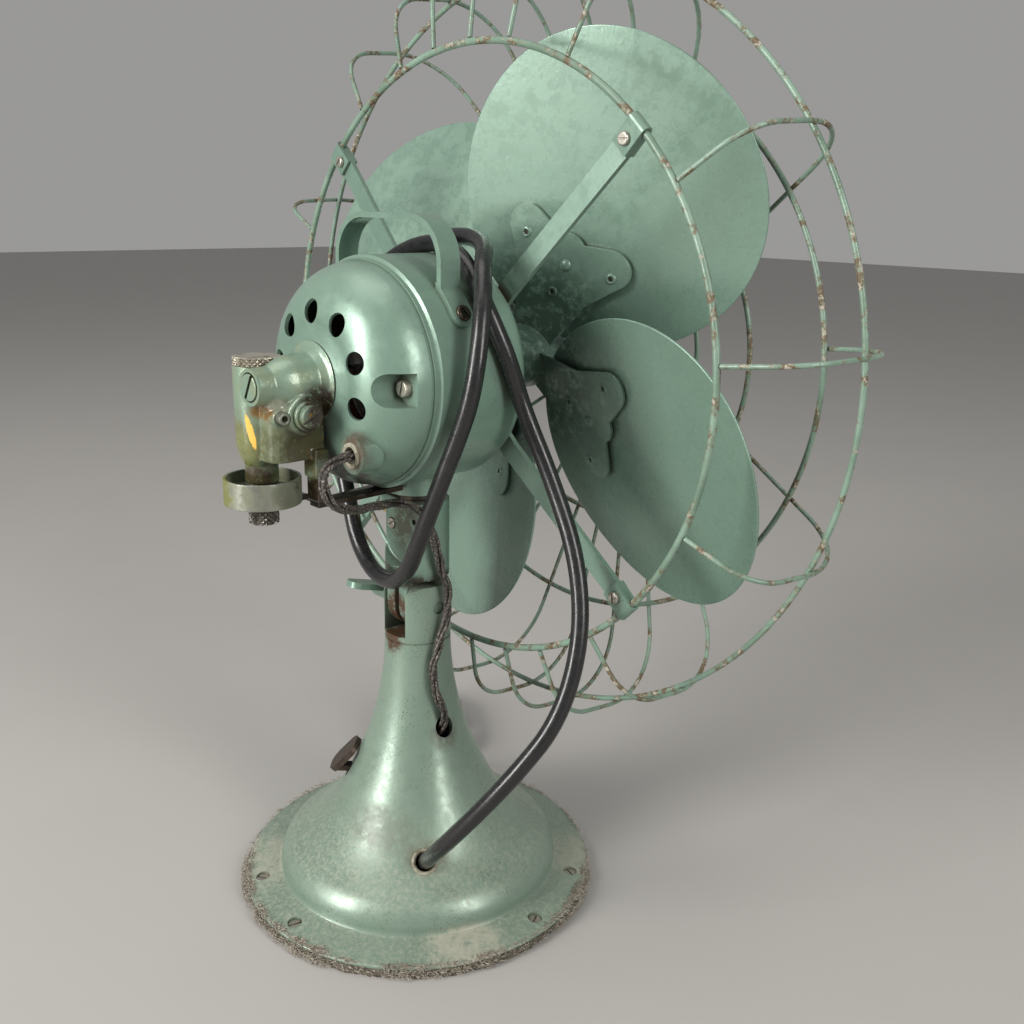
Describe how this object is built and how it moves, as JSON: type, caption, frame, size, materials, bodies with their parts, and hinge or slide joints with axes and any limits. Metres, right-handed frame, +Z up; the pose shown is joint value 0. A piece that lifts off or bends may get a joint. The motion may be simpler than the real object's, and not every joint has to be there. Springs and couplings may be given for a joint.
{
  "type": "oscillating desk fan",
  "caption": "Oscillating electric desk fan with a trumpet base, tilting yoke, wire guard, worm-driven gearbox and wrapped cord.",
  "frame": {"origin": "centre of the round foot on the table, under the column axis", "axes": "+Z up along the column, +Y toward the gearbox at the rear, air is blown toward -Y, +X the side of the wing screw"},
  "size_m": [0.3696, 0.2338, 0.4487],
  "materials": {
    "green_enamel": "satin enamel, worn",
    "felt": "grey felt",
    "plate_steel": "dark painted steel",
    "screw_steel": "aged plated steel",
    "dark_steel": "oily dark steel",
    "bright_steel": "ground steel",
    "cast_gearbox": "oily enamel on a casting",
    "brass": "aged brass",
    "copper_winding": "varnished copper",
    "laminations": "stacked sheet steel",
    "blade_enamel": "satin enamel",
    "cord_rubber": "black rubber",
    "plug_rubber": "black rubber with steel pins",
    "braid": "brown cotton braid",
    "lever_black": "black moulding",
    "fibre": "brown fibre"
  },
  "bodies": {
    "base": {"base_casting": "green_enamel", "base_felt": "felt", "base_plate": "plate_steel", "flange_screws": "screw_steel", "cord_eyelet": "fibre", "speed_coil": "copper_winding", "switch_body": "fibre", "power_cord_riser": "cord_rubber", "power_cord_drop": "cord_rubber", "power_cord_coil": "cord_rubber", "power_plug": "plug_rubber", "head_wires_low": "braid"},
    "yoke": {"yoke": "green_enamel", "yoke_screw": "screw_steel", "link_stud": "dark_steel"},
    "head": {"motor_shell": "green_enamel", "front_bell": "green_enamel", "rear_bell": "green_enamel", "pivot_stud": "bright_steel", "handle": "green_enamel", "handle_screws": "screw_steel", "wire_grommet": "fibre", "through_bolts": "dark_steel", "stator_core": "laminations", "windings": "copper_winding", "front_bearing": "brass", "rear_bearing": "brass", "gear_housing": "cast_gearbox", "slotted_plugs": "dark_steel", "oil_tube": "bright_steel", "housing_strap": "dark_steel", "guard_wires": "green_enamel", "guard_rear_ring": "green_enamel", "guard_outer_ring": "green_enamel", "guard_front_rings": "green_enamel", "guard_struts": "green_enamel", "guard_screws": "screw_steel", "power_cord_wrap": "cord_rubber", "head_wires_high": "braid"},
    "rotor": {"rotor_shaft": "bright_steel", "rotor_core": "laminations", "fan_hub": "blade_enamel", "blade_1": "blade_enamel", "blade_2": "blade_enamel", "blade_3": "blade_enamel", "blade_4": "blade_enamel"},
    "cross_gear": {"cross_shaft": "bright_steel"},
    "crank": {"crank_spindle": "bright_steel", "crank_cup": "screw_steel"},
    "oscillating_link": {"link": "dark_steel"},
    "crank_screw": {"thumb_screw": "dark_steel"},
    "speed_lever": {"switch_lever": "screw_steel"},
    "tilt_screw": {"wing_screw": "screw_steel"},
    "cap": {"grease_cap": "screw_steel"}
  },
  "joints": [
    {"name": "tilt", "type": "hinge", "parent": "base", "child": "yoke", "pos_m": [0, 0, 0.149], "axis": [1, 0, 0], "range_deg": [-20, 2], "deforming": ["power_cord_riser", "power_cord_drop", "head_wires_low"]},
    {"name": "oscillation", "type": "hinge", "parent": "yoke", "child": "head", "pos_m": [0, 0, 0.2015], "axis": [0, 0, 1], "range_deg": [-35, 35], "deforming": ["power_cord_wrap", "head_wires_high"]},
    {"name": "spin", "type": "hinge", "parent": "head", "child": "rotor", "pos_m": [0, -0.0715, 0.263], "axis": [0, 1, 0], "continuous": true},
    {"name": "cross_turn", "type": "hinge", "parent": "head", "child": "cross_gear", "pos_m": [0, 0.068, 0.251], "axis": [1, 0, 0], "continuous": true},
    {"name": "crank_turn", "type": "hinge", "parent": "head", "child": "crank", "pos_m": [0.011, 0.0765, 0.216], "axis": [0, 0, 1], "continuous": true},
    {"name": "link_turn", "type": "hinge", "parent": "yoke", "child": "oscillating_link", "pos_m": [0.02, 0, 0.2034], "axis": [0, 0, 1], "range_deg": [-36, 36]},
    {"name": "thumb_turn", "type": "hinge", "parent": "oscillating_link", "child": "crank_screw", "pos_m": [0.011, 0.0765, 0.208], "axis": [0, 0, 1], "continuous": true},
    {"name": "speed_select", "type": "hinge", "parent": "base", "child": "speed_lever", "pos_m": [0, 0, 0.057], "axis": [0, 0, 1], "range_deg": [-44, 0]},
    {"name": "tilt_lock", "type": "hinge", "parent": "base", "child": "tilt_screw", "pos_m": [0.02, 0, 0.149], "axis": [1, 0, 0], "continuous": true},
    {"name": "cap_turn", "type": "hinge", "parent": "head", "child": "cap", "pos_m": [0.011, 0.0765, 0.27], "axis": [0, 0, 1], "continuous": true}
  ],
  "couplings": [
    {"joint": "cross_turn", "follows": "spin", "ratio": 0.05},
    {"joint": "crank_turn", "follows": "spin", "ratio": -0.0025},
    {"joint": "link_turn", "follows": "oscillation", "ratio": 1}
  ]
}
